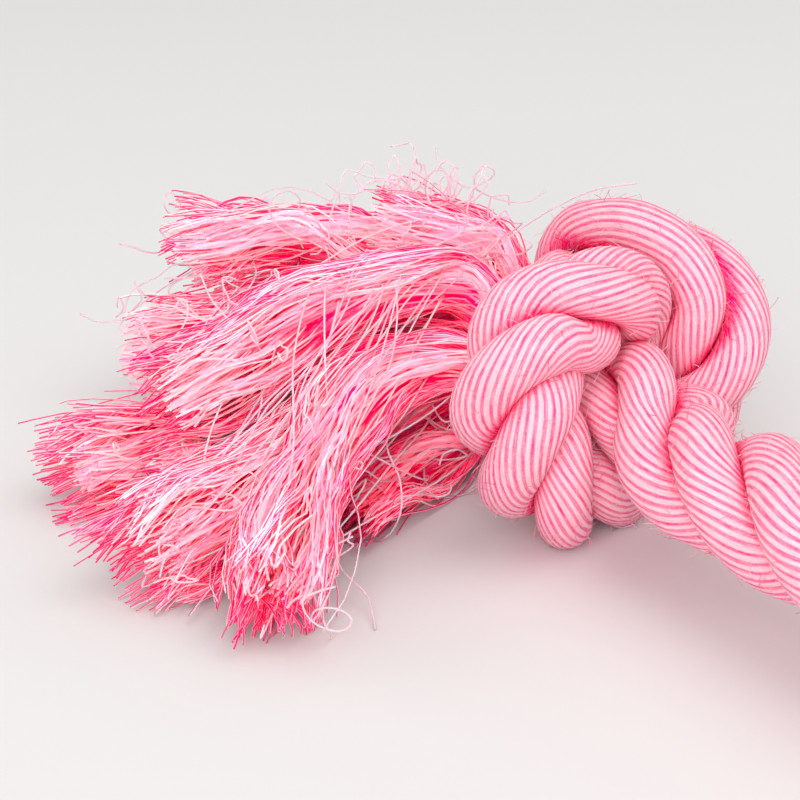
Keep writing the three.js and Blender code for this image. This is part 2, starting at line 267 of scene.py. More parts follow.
# Cotton
PALE_PINK = (1.0, 0.57, 0.65, 1)
STRIPE_PINK = (0.92, 0.21, 0.36, 1)
# painted shade for the rope's grooves between strands and where strands touch
GROOVE_SHADE_PINK = (0.95, 0.08, 0.24, 1)
THREAD_PALE = (1.0, 0.9, 0.91, 1)
THREAD_MID = (1.0, 0.53, 0.66, 1)
# painted shade inside locks, on threads' inner edges and in hollows between locks
THREAD_SHADE_PINK = (1.0, 0.04, 0.21, 1)
COTTON_ROUGHNESS, COTTON_SHINE = 0.85, 0.05
FIBRE_SCALE = 2500.0
FIBRE_HEIGHT = 0.0002
SEEP_BY_COLOUR = (1.0, 0.2, 0.32)
STRIPE_DRIFT_SCALE = 180.0
STREAKS_ROUND, STREAKS_ALONG = 7.0, 450.0
STRIPE_LEVEL, STRIPE_EDGE = 0.33, 0.1
STRIPE_CHANGES = (0.25, 0.3, 0.8)  # of that level, by yarn, drift and streak
# Where a colour's change to painted shade starts and ends: in the rope's grooves, where strands touch,
# inside a lock and under other locks
INSIDE_FACING = (0.1, -0.35)
TOUCHING = (0.2, 0.9)
OUTER_DEPTH = (0.3, 0.95)
OPEN_SKY = (0.33, 0.8, 1.0, 0.0)

# Studio
FLOOR_RADIUS, FLOOR_CORNERS = 1.25, 96
FLOOR_COLOUR = (0.74, 0.735, 0.73, 1)
FLOOR_FADE = (0.65, 1.2)
BACKDROP = (1.0, 0.985, 0.975, 1)
WORLD_LIGHT = 0.58
LIGHTS = [
    ("key", (1.05, -1.0, 0.85), (-0.08, 0, 0.02), 1.2, 17),
    ("overhead", (0.6, 0.3, 1.3), (0.2, 0.1, 0), 1.4, 9),
    ("side", (-1.2, -0.9, 0.7), (-0.12, -0.03, 0.02), 1.0, 4),
]


# Curves
def spline(points, steps, even):
    """A smooth run through the points. Uneven spacing is taken into account unless even is true."""
    points = np.asarray(points, float)
    padded = np.vstack([2 * points[0] - points[1], points, 2 * points[-1] - points[-2]])
    t = np.linspace(0, 1, steps, endpoint=False)[:, None]
    runs = []
    for a, b, c, d in zip(padded[:-3], padded[1:-2], padded[2:-1], padded[3:]):
        spans = ((a, b), (b, c), (c, d))
        before, here, after = (1.0 if even else np.linalg.norm(q - p) ** 0.5 for p, q in spans)
        start = here * ((b - a) / before - (c - a) / (before + here) + (c - b) / here)
        end = here * ((c - b) / here - (d - b) / (here + after) + (d - c) / after)
        square = 3 * (c - b) - 2 * start - end
        cube = 2 * (b - c) + start + end
        runs.append(b + start * t + square * t**2 + cube * t**3)
    runs.append(points[-1:])
    return np.vstack(runs)


def unit(vectors):
    return vectors / np.linalg.norm(vectors, axis=-1, keepdims=True)


def lengths_along(points):
    return np.concatenate([[0], np.cumsum(np.linalg.norm(np.diff(points, axis=0), axis=1))])


def tangents_of(points):
    ends = np.vstack([points[:1], points, points[-1:]])
    return unit(ends[2:] - ends[:-2])


def normals_of(tangents, first):
    """A normal for each tangent that turns as little as it can."""
    normals = []
    normal = np.asarray(first, float)
    for tangent in tangents:
        normal = unit(normal - tangent * normal.dot(tangent))
        normals.append(normal)
    return np.array(normals)


class HalfRope:
    """The rope from the middle of the shaft through the left knot to its opened end."""

    def __init__(self):
        straight = KNOT_CENTRE - KNOT[0][0] * ROPE
        rows = []
        for i in range(STRAIGHT_STATIONS):
            distance = straight * i / STRAIGHT_STATIONS
            rows.append((-distance, 0, AXIS_HEIGHT, SHAFT_RADIUS, 360 * distance / LAY))
        for along, across, up, radius, turn in KNOT:
            place = (along * ROPE - KNOT_CENTRE, across * ROPE, up * ROPE + AXIS_HEIGHT)
            rows.append((*place, radius * ROPE, 360 * straight / LAY + turn))
        rows = np.array(rows)
        self.centres = spline(rows[:, :3], STEPS, even=False)
        self.radii, turn = spline(rows[:, 3:], STEPS, even=True).T
        self.turn = np.radians(turn)
        self.tangents = tangents_of(self.centres)
        self.normals = normals_of(self.tangents, UP)
        self.across = np.cross(self.tangents, self.normals)
        self.bend = np.gradient(self.tangents, axis=0) / np.gradient(lengths_along(self.centres))[:, None]

    def direction(self, angle):
        return np.cos(angle)[:, None] * self.normals + np.sin(angle)[:, None] * self.across

    def strand(self, index):
        """Centres, radii, profile normals and outward directions of one strand."""
        outward = self.direction(self.turn + math.radians(360 / STRANDS * index))
        inside = np.maximum(0, np.sum(self.bend * outward, axis=1) * STRAND_OFFSET * self.radii)
        squeeze = np.maximum(THINNEST_STRAND, 1 - BEND_SQUEEZE * inside)
        centres = self.centres + outward * (STRAND_OFFSET * self.radii)[:, None]
        tangents = tangents_of(centres)
        lay = self.direction(YARN_TURN * self.turn)
        lay = unit(lay - tangents * np.sum(lay * tangents, axis=1, keepdims=True))
        return centres, STRAND_RADIUS * self.radii * squeeze, lay, outward


rope = HalfRope()

# Node trees
GEOMETRY = {"Geometry": ["Geometry"]}


def new_tree(name, kind, inputs, outputs):
    """A node group with named sockets, listed by their kind."""
    tree = bpy.data.node_groups.new(name, kind)
    for way, sockets in (("INPUT", inputs), ("OUTPUT", outputs)):
        for socket_kind, names in sockets.items():
            for socket_name in names:
                tree.interface.new_socket(socket_name, in_out=way, socket_type=f"NodeSocket{socket_kind}")
    source = tree.nodes.new("NodeGroupInput")
    target = tree.nodes.new("NodeGroupOutput")
    return tree, source.outputs, target.inputs


def new_shape_tree(name, counts, measures):
    """A geometry tree whose inputs are counts, measures, what covers the piece, and its material."""
    inputs = {**GEOMETRY, "Int": counts, "Float": measures, "Object": ["Cover"], "Material": ["Material"]}
    return new_tree(name, "GeometryNodeTree", inputs, GEOMETRY)


def put(tree, socket, value):
    """A socket is linked, and any other value is set."""
    if isinstance(value, bpy.types.NodeSocket):
        tree.links.new(value, socket)
    else:
        socket.default_value = value


def fill(tree, node, inputs):
    for key, value in inputs.items():
        put(tree, node.inputs[key], value)


def add(tree, kind, inputs=None, **settings):
    """A node with its settings and inputs."""
    node = tree.nodes.new(kind)
    for key, value in settings.items():
        setattr(node, key, value)
    fill(tree, node, inputs or {})
    return node


def live(sockets, name=None):
    """The first socket in use, of those with the given name."""
    return next(s for s in sockets if s.enabled and name in (None, s.name))


def math_node(tree, operation, *values):
    return add(tree, "ShaderNodeMath", dict(enumerate(values)), operation=operation).outputs[0]


def vector_node(tree, operation, *values, scale=None, output=0):
    inputs = dict(enumerate(values))
    if scale is not None:
        inputs["Scale"] = scale
    return add(tree, "ShaderNodeVectorMath", inputs, operation=operation).outputs[output]


def ramp(tree, value, start, end, low=0.0, high=1.0, **settings):
    """From low to high while the value goes from start to end."""
    inputs = dict(enumerate((value, start, end, low, high)))
    return add(tree, "ShaderNodeMapRange", inputs, **settings).outputs[0]


def random_value(tree, seed, identity=None, low=0.0, high=1.0, kind="FLOAT"):
    inputs = {"Seed": seed} if identity is None else {"ID": identity, "Seed": seed}
    node = add(tree, "FunctionNodeRandomValue", inputs, data_type=kind)
    live(node.inputs, "Min").default_value = low
    live(node.inputs, "Max").default_value = high
    return live(node.outputs)


def read(tree, name, kind="FLOAT"):
    return live(add(tree, "GeometryNodeInputNamedAttribute", {"Name": name}, data_type=kind).outputs)


def store(tree, geometry, name, value, domain="POINT", kind="FLOAT"):
    inputs = {"Geometry": geometry, "Name": name}
    node = add(tree, "GeometryNodeStoreNamedAttribute", inputs, data_type=kind, domain=domain)
    put(tree, live(node.inputs, "Value"), value)
    return node.outputs[0]


def position_in(tree):
    return add(tree, "GeometryNodeInputPosition").outputs[0]


def along_curve(tree, output):
    return add(tree, "GeometryNodeSplineParameter").outputs[output]


def place_at(tree, geometry, position):
    return add(tree, "GeometryNodeSetPosition", {"Geometry": geometry, "Position": position}).outputs[0]


def curve_from(tree, mesh):
    return add(tree, "GeometryNodeMeshToCurve", {"Mesh": mesh}).outputs[0]


def face_curve(tree, curve, normal):
    inputs = {"Curve": curve, "Normal": normal}
    return add(tree, "GeometryNodeSetCurveNormal", inputs, mode="FREE").outputs[0]


def trim_end(tree, curve, end):
    node = add(tree, "GeometryNodeTrimCurve", {"Curve": curve}, mode="FACTOR")
    put(tree, live(node.inputs, "End"), end)
    return node.outputs[0]


def circle_of(tree, corners, radius):
    inputs = {"Resolution": corners, "Radius": radius}
    return add(tree, "GeometryNodeCurvePrimitiveCircle", inputs).outputs[0]


def lobed(tree, circle, scale):
    """The circle with its points nearer to or further from the middle."""
    return place_at(tree, circle, vector_node(tree, "SCALE", position_in(tree), scale=scale))


def sweep(tree, curve, profile, scale=1.0, caps=True):
    inputs = {"Curve": curve, "Profile Curve": profile, "Scale": scale, "Fill Caps": caps}
    return add(tree, "GeometryNodeCurveToMesh", inputs).outputs[0]


def shade(tree, geometry, smooth):
    inputs = {"Geometry": geometry, "Shade Smooth": smooth}
    return add(tree, "GeometryNodeSetShadeSmooth", inputs).outputs[0]


def join(tree, *parts):
    joined = add(tree, "GeometryNodeJoinGeometry")
    for part in parts:
        tree.links.new(part, joined.inputs[0])
    return joined.outputs[0]


def close_tree(tree, geometry, material, target):
    realized = add(tree, "GeometryNodeRealizeInstances", {"Geometry": geometry}).outputs[0]
    painted = add(tree, "GeometryNodeSetMaterial", {"Geometry": realized, "Material": material})
    tree.links.new(painted.outputs[0], target["Geometry"])


def keep_above(tree, geometry, floor):
    """The geometry with nothing below the floor's height."""
    x, y, z = add(tree, "ShaderNodeSeparateXYZ", {0: position_in(tree)}).outputs
    height = math_node(tree, "MAXIMUM", z, floor)
    return place_at(tree, geometry, add(tree, "ShaderNodeCombineXYZ", {0: x, 1: y, 2: height}).outputs[0])


def shape_of(tree, thing):
    return add(tree, "GeometryNodeObjectInfo", {"Object": thing}).outputs["Geometry"]


def cast(tree, solid, direction, length):
    """What a ray from each point meets on the solid."""
    inputs = {"Target Geometry": solid, "Ray Direction": direction, "Ray Length": length}
    return add(tree, "GeometryNodeRaycast", inputs).outputs


def store_cover(tree, geometry, cover):
    """Keep the share of the sky that the locks hide from each point, by which the material paints shade."""
    solid = shape_of(tree, cover)
    hidden = 0.0
    for direction in COVER_RAYS:
        hidden = math_node(tree, "ADD", cast(tree, solid, direction, COVER_LENGTH)["Is Hit"], hidden)
    return store(tree, geometry, "covered", math_node(tree, "DIVIDE", hidden, float(len(COVER_RAYS))))


def strand_tree():
    """A strand of yarns laid side by side, swept along a centre line with its own radius and twist."""
    tree, given, target = new_shape_tree(
        "laid_strand",
        ["Yarns", "Points per yarn", "Seed"],
        ["Groove depth", "Fuzz per square metre", "Fuzz length", "Touching distance", "Floor"],
    )
    calc = partial(math_node, tree)
    circle = circle_of(tree, calc("MULTIPLY", given["Yarns"], given["Points per yarn"]), 1.0)
    place = calc("MULTIPLY", along_curve(tree, "Factor"), given["Yarns"])
    circle = store(tree, circle, "crest", calc("MULTIPLY", calc("PINGPONG", place, 0.5), 2.0))
    circle = store(tree, circle, "round", place)
    circle = store(tree, circle, "yarn", calc("FLOOR", calc("ADD", place, ON_EDGE)))
    arch = calc("SINE", calc("MULTIPLY", read(tree, "crest"), math.pi / 2))
    drop = calc("MULTIPLY", calc("SUBTRACT", arch, 1.0), given["Groove depth"])
    profile = lobed(tree, circle, calc("ADD", drop, 1.0))

    lay = read(tree, "lay_normal", "FLOAT_VECTOR")
    curve = face_curve(tree, curve_from(tree, given["Geometry"]), lay)
    curve = store(tree, curve, "along", along_curve(tree, "Length"))
    strand = sweep(tree, curve, profile, read(tree, "strand_radius"))
    # facing and covered mark the inner sides and touching places where the material paints shade
    normal = add(tree, "GeometryNodeInputNormal").outputs[0]
    outward = read(tree, "outward", "FLOAT_VECTOR")
    facing = vector_node(tree, "DOT_PRODUCT", normal, outward, output="Value")
    strand = store(tree, strand, "facing", facing)
    ray = cast(tree, shape_of(tree, given["Cover"]), normal, given["Touching distance"])
    near = calc("SUBTRACT", 1.0, calc("DIVIDE", ray["Hit Distance"], given["Touching distance"]))
    strand = store(tree, strand, "covered", calc("MULTIPLY", ray["Is Hit"], near))
    strand = keep_above(tree, strand, given["Floor"])
    fuzz = keep_above(tree, fuzz_on(tree, given, strand), given["Floor"])
    close_tree(tree, join(tree, shade(tree, strand, True), fuzz), given["Material"], target)
    return tree


def fuzz_on(tree, given, strand):
    """Short curved fibres that stand off a strand."""
    inputs = {"Mesh": strand, "Density": given["Fuzz per square metre"], "Seed": given["Seed"]}
    spots = add(tree, "GeometryNodeDistributePointsOnFaces", inputs).outputs
    line = add(tree, "GeometryNodeCurveQuadraticBezier", FIBRE_ARC).outputs[0]
    fibre = sweep(tree, line, circle_of(tree, 3, FIBRE_RADIUS), caps=False)
    least, most = (math.radians(angle) for angle in FIBRE_LEAN)
    lean = random_value(
        tree, given["Seed"], low=(least, 0, 0), high=(most, 0, 2 * math.pi), kind="FLOAT_VECTOR"
    )
    leaning = add(tree, "FunctionNodeEulerToRotation", {0: lean}).outputs[0]
    inputs = {"Rotation": spots["Rotation"], "Rotate By": leaning}
    turned = add(tree, "FunctionNodeRotateRotation", inputs, rotation_space="LOCAL").outputs[0]
    chance = random_value(tree, math_node(tree, "ADD", given["Seed"], 5.0))
    own_length = math_node(tree, "MULTIPLY_ADD", chance, 1 - SHORTEST_FIBRE, SHORTEST_FIBRE)
    size = math_node(tree, "MULTIPLY", own_length, given["Fuzz length"])
    inputs = {"Points": spots["Points"], "Instance": fibre, "Rotation": turned, "Scale": size}
    fibres = add(tree, "GeometryNodeInstanceOnPoints", inputs).outputs[0]
    return add(tree, "GeometryNodeRealizeInstances", {"Geometry": fibres}).outputs[0]


def lock_tree():
    """A lock of loose threads: its wisps follow a guide line, and the threads follow their wisp."""
    tree, given, target = new_shape_tree(
        "lock_of_threads",
        ["Wisps", "Threads per wisp", "Points", "Core yarns", "Seed"],
        [
            "Thread size", "Wisp share", "Crossing", "Wave", "Crimp", "Stray", "Core share", "Shortest",
            "Floor",
        ],
    )
    calc, vector = partial(math_node, tree), partial(vector_node, tree)

    def chance(identity, draw, low=0.0, high=1.0):
        return random_value(tree, calc("ADD", given["Seed"], float(draw)), identity, low, high)

    curve = curve_from(tree, given["Geometry"])
    guide = add(tree, "GeometryNodeResampleCurve", {"Curve": curve, "Count": given["Points"]}).outputs[0]
    inputs = {"Geometry": guide, "Amount": calc("MULTIPLY", given["Wisps"], given["Threads per wisp"])}
    copies = add(tree, "GeometryNodeDuplicateElements", inputs, domain="SPLINE").outputs[0]
    index = add(tree, "GeometryNodeInputIndex").outputs[0]
    wisp, thread = read(tree, "wisp"), read(tree, "thread")
    angle = calc("ADD", calc("MULTIPLY", wisp, GOLDEN_ANGLE), chance(wisp, 1))
    filled = calc("DIVIDE", calc("ADD", wisp, 0.5), given["Wisps"])
    wildness = calc("POWER", chance(thread, 4), STRAY_RARITY)
    own_shade = calc("MULTIPLY", chance(thread, 5), 1 - WISP_SHADE)
    for name, value in (
        ("thread", index),
        ("wisp", calc("FLOOR", calc("DIVIDE", index, given["Threads per wisp"]))),
        ("wisp_angle", angle),
        ("wisp_reach", calc("POWER", filled, WISP_CROWDING)),
        ("aside", chance(thread, 2, -1.0, 1.0)),
        ("sunk", chance(thread, 3)),
        ("crossing", calc("MULTIPLY", chance(thread, 10, -1.0, 1.0), given["Crossing"])),
        ("wild", calc("MULTIPLY", wildness, given["Stray"])),
        ("shade", calc("MULTIPLY_ADD", chance(wisp, 6), WISP_SHADE, own_shade)),
    ):
        copies = store(tree, copies, name, value, "CURVE")

    factor = along_curve(tree, "Factor")
    normal = add(tree, "GeometryNodeInputNormal").outputs[0]
    tangent = add(tree, "GeometryNodeInputTangent").outputs[0]
    across = vector("CROSS_PRODUCT", tangent, normal)
    position = position_in(tree)
    spread = read(tree, "spread")

    def drift(identity, strength, step, scale, gather):
        """Noise that grows along the lock and gathers again at its tip."""
        inputs = {"Vector": position, "W": calc("MULTIPLY", identity, step), "Scale": scale, "Detail": 0.0}
        noise = add(tree, "ShaderNodeTexNoise", inputs, noise_dimensions="4D").outputs["Color"]
        gathered = calc("MULTIPLY_ADD", calc("MULTIPLY", factor, factor), -gather, DRIFT_GAIN)
        grown = calc("MULTIPLY", calc("MULTIPLY", factor, strength), gathered)
        return vector("SCALE", vector("SUBTRACT", noise, (0.5, 0.5, 0.5)), scale=grown)

    aside = calc("MULTIPLY", read(tree, "aside"), given["Wisp share"])
    aside = calc("MULTIPLY", aside, calc("MULTIPLY_ADD", factor, WISP_GAIN, WISP_AT_ROOT))
    aside = calc("MULTIPLY_ADD", read(tree, "crossing"), factor, aside)
    angle = calc("ADD", read(tree, "wisp_angle"), aside)
    side = vector("SCALE", normal, scale=calc("COSINE", angle))
    up = vector("SCALE", across, scale=calc("SINE", angle))
    sunk = calc("MULTIPLY", read(tree, "sunk"), SUNK_SHARE)
    distance = calc("MULTIPLY", calc("SUBTRACT", read(tree, "wisp_reach"), sunk), spread)
    place = vector("SCALE", vector("ADD", side, up), scale=distance)
    outside = vector("NORMALIZE", vector("ADD", place, vector("SCALE", normal, scale=1e-6)))
    copies = store(tree, copies, "outside", outside, kind="FLOAT_VECTOR")
    # depth: how far out a thread lies in its lock; the material paints shade on the deeper ones
    depth = calc("DIVIDE", vector("LENGTH", place, output="Value"), spread)
    copies = store(tree, copies, "depth", calc("MAXIMUM", depth, ramp(tree, factor, *OPEN_TIP)))
    wave = drift(wisp, given["Wave"], *WAVE_NOISE)
    crimp = drift(thread, given["Crimp"], *CRIMP_NOISE)
    stray = drift(thread, read(tree, "wild"), *STRAY_NOISE)
    offset = vector("ADD", vector("ADD", place, vector("ADD", wave, crimp)), stray)
    loose = add(tree, "GeometryNodeSetPosition", {"Geometry": copies, "Offset": offset}).outputs[0]
    # covered: painted shade under other locks
    loose = store_cover(tree, keep_above(tree, loose, given["Floor"]), given["Cover"])

    uneven = calc("MULTIPLY", calc("POWER", chance(thread, 7), 3.0), 0.5)
    uneven = calc("MULTIPLY_ADD", chance(wisp, 8), 0.5, uneven)
    lost = calc("MULTIPLY", uneven, calc("SUBTRACT", 1.0, given["Shortest"]))
    cut = trim_end(tree, loose, calc("SUBTRACT", 1.0, lost))
    outward = read(tree, "outside", "FLOAT_VECTOR")
    leaning = vector("DOT_PRODUCT", outward, tangent, output="Value")
    upright = vector("SUBTRACT", outward, vector("SCALE", tangent, scale=leaning))
    cut = face_curve(tree, cut, vector("SCALE", vector("NORMALIZE", upright), scale=-1.0))
    section = circle_of(tree, 3, calc("MULTIPLY", given["Thread size"], SIDE_TO_RADIUS))
    # face: 1 on a thread's outer face, 0 at its inner edge, where shade is painted between threads
    section = store(tree, section, "face", calc("MINIMUM", index, 1.0))
    thickness = calc("MULTIPLY_ADD", chance(thread, 9), THREAD_GAIN, THINNEST_THREAD)
    cut = store(tree, cut, "thickness", thickness)
    threads = shade(tree, sweep(tree, cut, section, read(tree, "thickness")), False)
    core = shade(tree, lock_core(tree, given, guide), True)
    close_tree(tree, join(tree, core, threads), given["Material"], target)
    return tree


def loose_yarn_tree():
    """Single round yarns along given lines, each with its own tone, and painted shade where the locks cover
    them.
    """
    tree, given, target = new_shape_tree("loose_yarns", ["Sides", "Seed"], ["Yarn size", "Palest", "Floor"])
    curve = curve_from(tree, given["Geometry"])
    chance = random_value(tree, given["Seed"], add(tree, "GeometryNodeInputIndex").outputs[0])
    curve = store(tree, curve, "shade", math_node(tree, "MULTIPLY", chance, given["Palest"]), "CURVE")
    section = circle_of(tree, given["Sides"], math_node(tree, "MULTIPLY", given["Yarn size"], 0.5))
    yarns = sweep(tree, curve, section)
    for name in ("depth", "face"):
        yarns = store(tree, yarns, name, 1.0)
    yarns = store_cover(tree, keep_above(tree, yarns, given["Floor"]), given["Cover"])
    close_tree(tree, shade(tree, yarns, True), given["Material"], target)
    return tree


def lock_core(tree, given, guide):
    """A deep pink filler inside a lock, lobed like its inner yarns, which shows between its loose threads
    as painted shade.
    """
    calc = partial(math_node, tree)
    circle = circle_of(tree, calc("MULTIPLY", given["Core yarns"], 3.0), 1.0)
    place = calc("MULTIPLY", along_curve(tree, "Factor"), given["Core yarns"])
    chance = random_value(tree, given["Seed"], calc("FLOOR", calc("ADD", place, ON_EDGE)))
    circle = store(tree, circle, "shade", chance)
    height = calc("MULTIPLY_ADD", calc("PINGPONG", place, 0.5), 2 * (1 - CORE_GROOVE), CORE_GROOVE)
    profile = lobed(tree, circle, height)
    inner = trim_end(tree, guide, CORE_END)
    size = calc("MULTIPLY", read(tree, "spread"), given["Core share"])
    size = calc("MULTIPLY", size, ramp(tree, along_curve(tree, "Factor"), *CORE_TAPER))
    inner = store(tree, inner, "core_size", size)
    core = sweep(tree, inner, profile, read(tree, "core_size"))
    # low depth gives the core mostly painted shade colour, more or less by its yarn's tone
    core = store(tree, core, "depth", calc("MULTIPLY_ADD", read(tree, "shade"), *CORE_DEPTH))
    core = store(tree, core, "face", 1.0)
    return store_cover(tree, keep_above(tree, core, given["Floor"]), given["Cover"])


def link_new(name, data):
    thing = bpy.data.objects.new(name, data)
    bpy.context.collection.objects.link(thing)
    return thing


def grow(name, tree, runs, attributes, values):
    """Lines through the given runs of points, shaped by a node tree and turned into a plain mesh."""
    mesh = bpy.data.meshes.new(name)
    edges = []
    first = 0
    for run in runs:
        edges += [(first + i, first + i + 1) for i in range(len(run) - 1)]
        first += len(run)
    mesh.from_pydata(np.vstack(runs).tolist(), edges, [])
    for key, data in attributes.items():
        data = np.asarray(data, np.float32)
        kind, field = ("FLOAT_VECTOR", "vector") if data.ndim == 2 else ("FLOAT", "value")
        mesh.attributes.new(key, kind, "POINT").data.foreach_set(field, data.ravel())
    lines = link_new(name, mesh)
    modifier = lines.modifiers.new("shape", "NODES")
    modifier.node_group = tree
    for item in tree.interface.items_tree:
        if item.in_out == "INPUT" and item.name in values:
            modifier[item.identifier] = values[item.name]
    depsgraph = bpy.context.evaluated_depsgraph_get()
    shaped = bpy.data.meshes.new_from_object(
        lines.evaluated_get(depsgraph), preserve_all_data_layers=True, depsgraph=depsgraph
    )
    bpy.data.objects.remove(lines)
    bpy.data.meshes.remove(mesh)
    return link_new(name, shaped)


# Materials
def new_material(name):
    material = bpy.data.materials.new(name)
    material.use_nodes = True
    tree = material.node_tree
    return material, tree, tree.nodes["Principled BSDF"]


def attribute(tree, name):
    return add(tree, "ShaderNodeAttribute", attribute_name=name).outputs["Fac"]


def mix_colours(tree, factor, first, second):
    return add(tree, "ShaderNodeMix", {0: factor, 6: first, 7: second}, data_type="RGBA").outputs[2]


def noise_at(tree, where, scale, detail):
    inputs = {"Vector": where, "Scale": scale, "Detail": detail}
    return add(tree, "ShaderNodeTexNoise", inputs).outputs["Fac"]


def object_place(tree):
    return add(tree, "ShaderNodeTexCoord").outputs["Object"]


def cotton_group():
    """Small changes of colour and height that all the cotton shares."""
    tree, given, target = new_tree(
        "cotton_fibre",
        "ShaderNodeTree",
        {"Color": ["Colour"], "Float": ["Shade", "Fibre scale", "Change"]},
        {"Color": ["Colour"], "Float": ["Height"]},
    )
    noise = noise_at(tree, object_place(tree), given["Fibre scale"], 3.0)
    change = math_node(tree, "ADD", math_node(tree, "SUBTRACT", noise, 0.5), given["Shade"])
    saturation = math_node(tree, "SUBTRACT", 1.0, math_node(tree, "MULTIPLY", change, given["Change"]))
    inputs = {"Color": given["Colour"], "Saturation": saturation}
    tree.links.new(add(tree, "ShaderNodeHueSaturation", inputs).outputs[0], target["Colour"])
    tree.links.new(noise, target["Height"])
    return tree


cotton = cotton_group()


def cotton_shader(tree, shader, colour, shade, change, bump, glow, seep):
    """Matt cotton that lets light seep through its yarns, red the furthest."""
    inputs = {"Colour": colour, "Shade": shade, "Fibre scale": FIBRE_SCALE, "Change": change}
    fibre = add(tree, "ShaderNodeGroup", inputs, node_tree=cotton).outputs
    inputs = {"Height": fibre["Height"], "Strength": bump, "Distance": FIBRE_HEIGHT}
    relief = add(tree, "ShaderNodeBump", inputs).outputs[0]
    shader.subsurface_method = "BURLEY"
    fill(tree, shader, {
        "Base Color": fibre["Colour"],
        "Normal": relief,
        "Roughness": COTTON_ROUGHNESS,
        "Specular IOR Level": COTTON_SHINE,
        "Subsurface Weight": glow,
        "Subsurface Radius": SEEP_BY_COLOUR,
        "Subsurface Scale": seep,
    })


def striped_cotton():
    """Pale yarns with a narrower, deeper pink yarn between each two, and painted shade in deep pink where a
    strand faces the rope's middle or touches another strand.
    """
    material, tree, shader = new_material("striped_cotton")
    calc = partial(math_node, tree)
    yarn = calc("ROUND", attribute(tree, "yarn"))
    chance = add(tree, "ShaderNodeTexWhiteNoise", {"W": yarn}, noise_dimensions="1D").outputs["Value"]
    drift = calc("SUBTRACT", noise_at(tree, object_place(tree), STRIPE_DRIFT_SCALE, 1.0), 0.5)
    rounds = calc("MULTIPLY", attribute(tree, "round"), STREAKS_ROUND)
    lengths = calc("MULTIPLY", attribute(tree, "along"), STREAKS_ALONG)
    streaks_at = add(tree, "ShaderNodeCombineXYZ", {0: rounds, 1: lengths}).outputs[0]
    streak = calc("SUBTRACT", noise_at(tree, streaks_at, 1.0, 3.0), 0.5)
    level = STRIPE_LEVEL
    for value, share in zip((chance, drift, streak), STRIPE_CHANGES):
        level = calc("MULTIPLY_ADD", value, share, level)
    mask = ramp(tree, calc("SUBTRACT", attribute(tree, "crest"), level), -STRIPE_EDGE, STRIPE_EDGE)
    stripes = mix_colours(tree, mask, STRIPE_PINK, PALE_PINK)
    # painted shade: strand sides that face the rope's middle and places where strands touch turn deep pink
    inside = ramp(tree, attribute(tree, "facing"), *INSIDE_FACING)
    touching = ramp(tree, attribute(tree, "covered"), *TOUCHING)
    colour = mix_colours(tree, calc("MAXIMUM", inside, touching), stripes, GROOVE_SHADE_PINK)
    own_shade = calc("MULTIPLY_ADD", calc("SUBTRACT", chance, 0.5), 0.4, calc("MULTIPLY", streak, 3.0))
    cotton_shader(tree, shader, colour, own_shade, change=0.4, bump=0.8, glow=0.15, seep=0.001)
    return material


def thread_cotton():
    """Threads in their own pale to mid tones, with painted shade in deep pink inside a lock, on their inner
    edges and in the hollows between locks.
    """
    material, tree, shader = new_material("loose_cotton")
    calc = partial(math_node, tree)
    shade = attribute(tree, "shade")
    # outer: how far a point lies out of the painted shade, by its depth in the lock, its side of the thread
    # and its cover by other locks
    outer = ramp(tree, attribute(tree, "depth"), *OUTER_DEPTH)
    outer = calc("MULTIPLY", outer, ramp(tree, attribute(tree, "face"), 0.5, 1.0))
    outer = calc("MULTIPLY", outer, ramp(tree, attribute(tree, "covered"), *OPEN_SKY))
    body = mix_colours(tree, outer, THREAD_SHADE_PINK, THREAD_MID)
    colour = mix_colours(tree, calc("MULTIPLY", shade, outer), body, THREAD_PALE)
    own_shade = calc("SUBTRACT", shade, 0.5)
    cotton_shader(tree, shader, colour, own_shade, change=0.3, bump=0.3, glow=0.7, seep=0.005)
    return material


rope_cotton = striped_cotton()
tassel_cotton = thread_cotton()

# Pieces
laid_strand = strand_tree()
lock_of_threads = lock_tree()
loose_yarns = loose_yarn_tree()

# The right end is the left one turned half round, which swaps two strands
LETTERS = {"left": "abc", "right": "acb"}
TURN = {"left": np.ones(3), "right": np.array([-1.0, -1.0, 1.0])}
SEEDS = {"left": 11, "right": 71}

STRAND_VALUES = {
    "Yarns": STRIPES,
    "Points per yarn": POINTS_PER_STRIPE,
    "Groove depth": GROOVE,
    "Fuzz per square metre": 130000.0,
    "Fuzz length": 0.0026,
    "Touching distance": 0.003,
    "Floor": FLOOR_GAP,
    "Material": rope_cotton,
}
LOCK_VALUES = {
    "Wisps": WISPS,
    "Threads per wisp": THREADS,
    "Points": THREAD_POINTS,
    "Thread size": THREAD_SIZE,
    "Wisp share": 0.38,
    "Crossing": 0.35,
    "Wave": 0.012,
    "Crimp": 0.0032,
    "Stray": 0.016,
    "Core share": 0.84,
    "Core yarns": 34,
    "Shortest": 0.82,
    "Floor": THREAD_SIZE / 2,
    "Material": tassel_cotton,
}
YARN_VALUES = {
    "Yarn size": YARN_SIZE,
    "Sides": 5,
    "Palest": 0.35,
    "Floor": FLOOR_GAP,
    "Material": tassel_cotton,
}


def make_strand(side, index, cover):
    """One strand from the middle of the shaft to the opened end."""
    letter = LETTERS[side][index]
    centres, radii, lay, outward = rope.strand(index)
    turn = TURN[side]
    attributes = {"strand_radius": radii, "lay_normal": lay * turn, "outward": outward * turn}
    values = {**STRAND_VALUES, "Cover": cover, "Seed": SEEDS[side] + index}
    piece = grow(f"{side}_rope_strand_{letter}", laid_strand, [centres * turn], attributes, values)
    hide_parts(f"{side}_knot_strand_{letter}", f"shaft_strand_{letter}")
    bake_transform(piece)


END_TANGENT = rope.tangents[-1]
SIDEWAYS = unit(np.cross(UP, END_TANGENT))
UPWARD = np.cross(END_TANGENT, SIDEWAYS)


